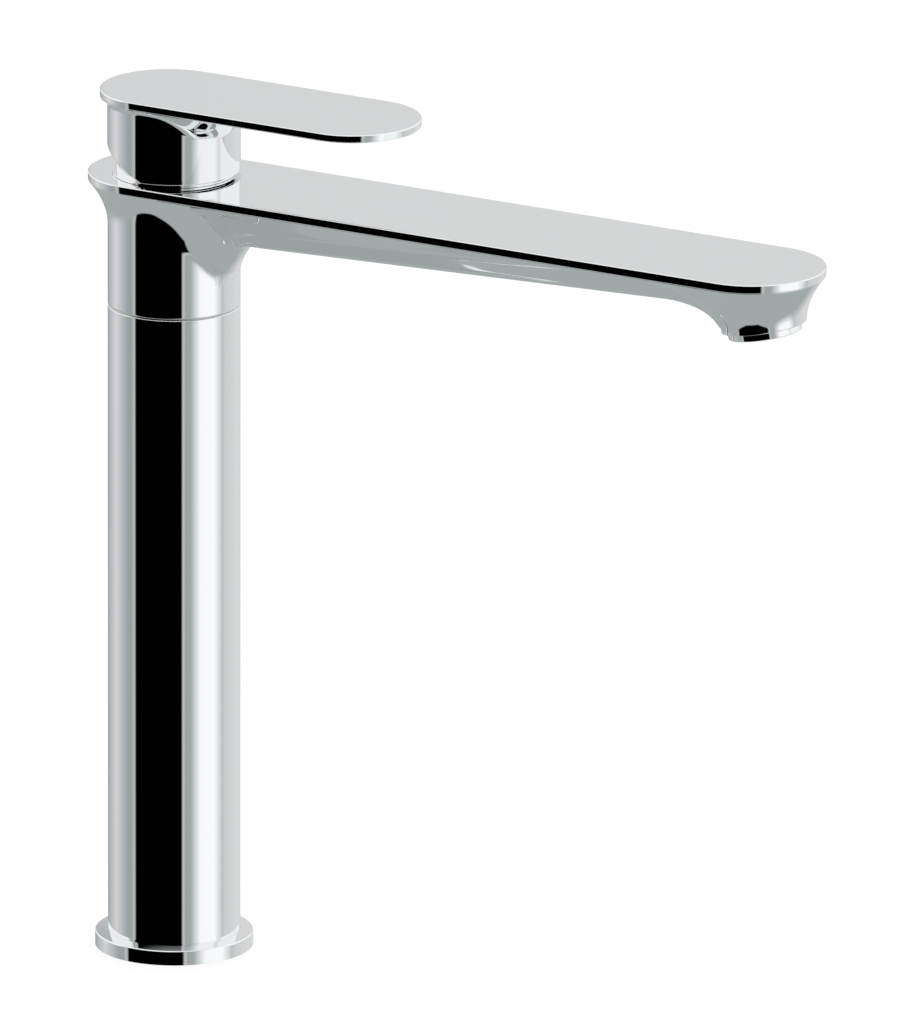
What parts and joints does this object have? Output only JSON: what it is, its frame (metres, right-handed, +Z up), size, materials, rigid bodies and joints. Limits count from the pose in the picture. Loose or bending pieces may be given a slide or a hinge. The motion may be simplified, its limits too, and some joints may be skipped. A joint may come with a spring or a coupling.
{
  "type": "basin mixer tap",
  "caption": "Tall chrome basin mixer tap: round column on a flanged foot, long flat swivel spout with a downturned round nozzle, and a flat lever on top that lifts and turns.",
  "frame": {"origin": "centre of the base underside, on the axis of the column and of the fixing stud's hole", "axes": "+Z up along the column, +X from the column along the spout to the nozzle, +Y to the left seen from behind the column, so the user in front of the nozzle has -Y at the left hand"},
  "size_m": [0.2793, 0.0538, 0.3016],
  "materials": {
    "chrome": "mirror-polished chrome plate",
    "chrome_plastic": "chromed plastic",
    "brass": "raw machined brass",
    "copper": "drawn copper",
    "screw_steel": "bright steel",
    "seal_rubber": "matt black rubber",
    "ring_plastic": "matt acetal",
    "cartridge_white": "matt moulded plastic",
    "cartridge_grey": "matt moulded plastic",
    "ceramic": "lapped alumina ceramic"
  },
  "bodies": {
    "column": {"base_flange": "chrome", "base_gasket": "seal_rubber", "base_block": "brass", "column_tube": "chrome", "hot_riser": "copper", "cold_riser": "copper", "riser_seals": "seal_rubber", "valve_body": "brass", "joint_washer": "ring_plastic", "lower_glide_ring": "ring_plastic", "upper_glide_ring": "ring_plastic", "swivel_seals": "seal_rubber", "cartridge_base": "cartridge_grey", "port_seals": "seal_rubber", "fixed_disc": "ceramic", "cartridge_housing": "cartridge_white", "cartridge_nut": "brass", "dome_cover": "chrome"},
    "spout": {"spout_head": "chrome", "swivel_screw": "screw_steel", "aerator_shell": "chrome", "aerator_insert": "cartridge_white", "aerator_screen": "screw_steel", "aerator_seal": "seal_rubber"},
    "turn_guide": {"spindle_guide": "cartridge_white", "pivot_pin": "screw_steel"},
    "disc_set": {"disc_carrier": "cartridge_grey", "moving_disc": "ceramic"},
    "lever": {"lever_handle": "chrome", "lever_spindle": "screw_steel", "grub_screw": "screw_steel", "screw_plug": "chrome_plastic"}
  },
  "joints": [
    {"name": "spout_swivel", "type": "hinge", "parent": "column", "child": "spout", "pos_m": [0, 0, 0.2265], "axis": [0, 0, 1], "range_deg": [-70, 70]},
    {"name": "lever_turn", "type": "hinge", "parent": "column", "child": "turn_guide", "pos_m": [0, 0, 0.2733], "axis": [0, 0, 1], "range_deg": [-50, 50]},
    {"name": "lever_lift", "type": "hinge", "parent": "turn_guide", "child": "lever", "pos_m": [0, 0, 0.2733], "axis": [0, -1, 0], "range_deg": [0, 25]},
    {"name": "disc_slide", "type": "slide", "parent": "turn_guide", "child": "disc_set", "axis": [1, 0, 0], "range_m": [0, 0.0056]}
  ],
  "couplings": [
    {"joint": "disc_slide", "follows": "lever_lift", "m_per_rad": 0.0124}
  ]
}
